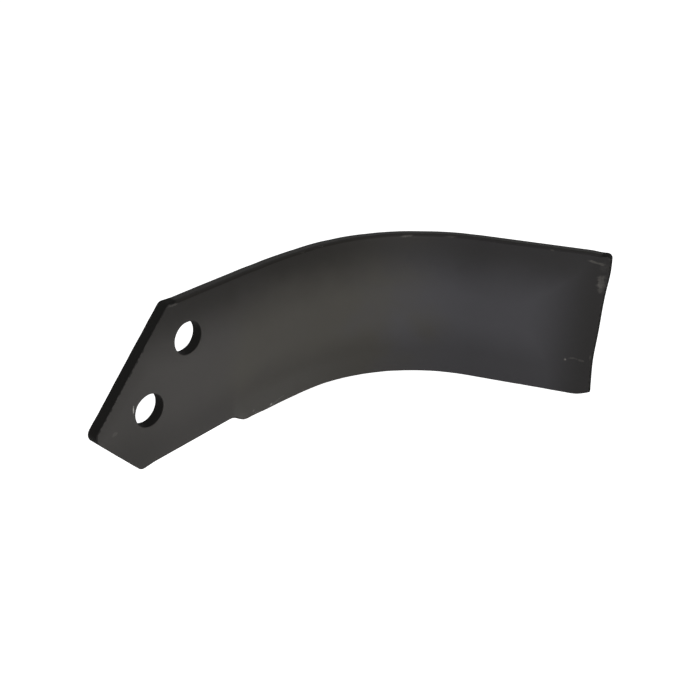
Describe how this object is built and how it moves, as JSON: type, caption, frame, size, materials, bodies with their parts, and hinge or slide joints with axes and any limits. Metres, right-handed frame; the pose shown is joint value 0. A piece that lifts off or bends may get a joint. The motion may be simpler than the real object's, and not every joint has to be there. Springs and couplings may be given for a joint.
{
  "type": "rotary tiller blade",
  "caption": "Curved rotary tiller blade of forged flat steel bar, with a slant-cut shank that bolts to the rotor flange, a long sweeping bend and a wing with a thinned cutting edge.",
  "frame": {"origin": "midway between the bolt holes, on the outer face of the shank that lies on the rotor flange", "axes": "+X along the shank from the holes towards the wing, +Y out of the shank's outer face along the bolt axes, +Z across the bar from the cutting edge to the back edge; the wing bends over towards -Y and the blade stands on its cutting edge"},
  "size_m": [0.2786, 0.1541, 0.099],
  "materials": {
    "black_painted_steel": "satin"
  },
  "bodies": {
    "root": {"blade": "black_painted_steel"}
  },
  "joints": []
}
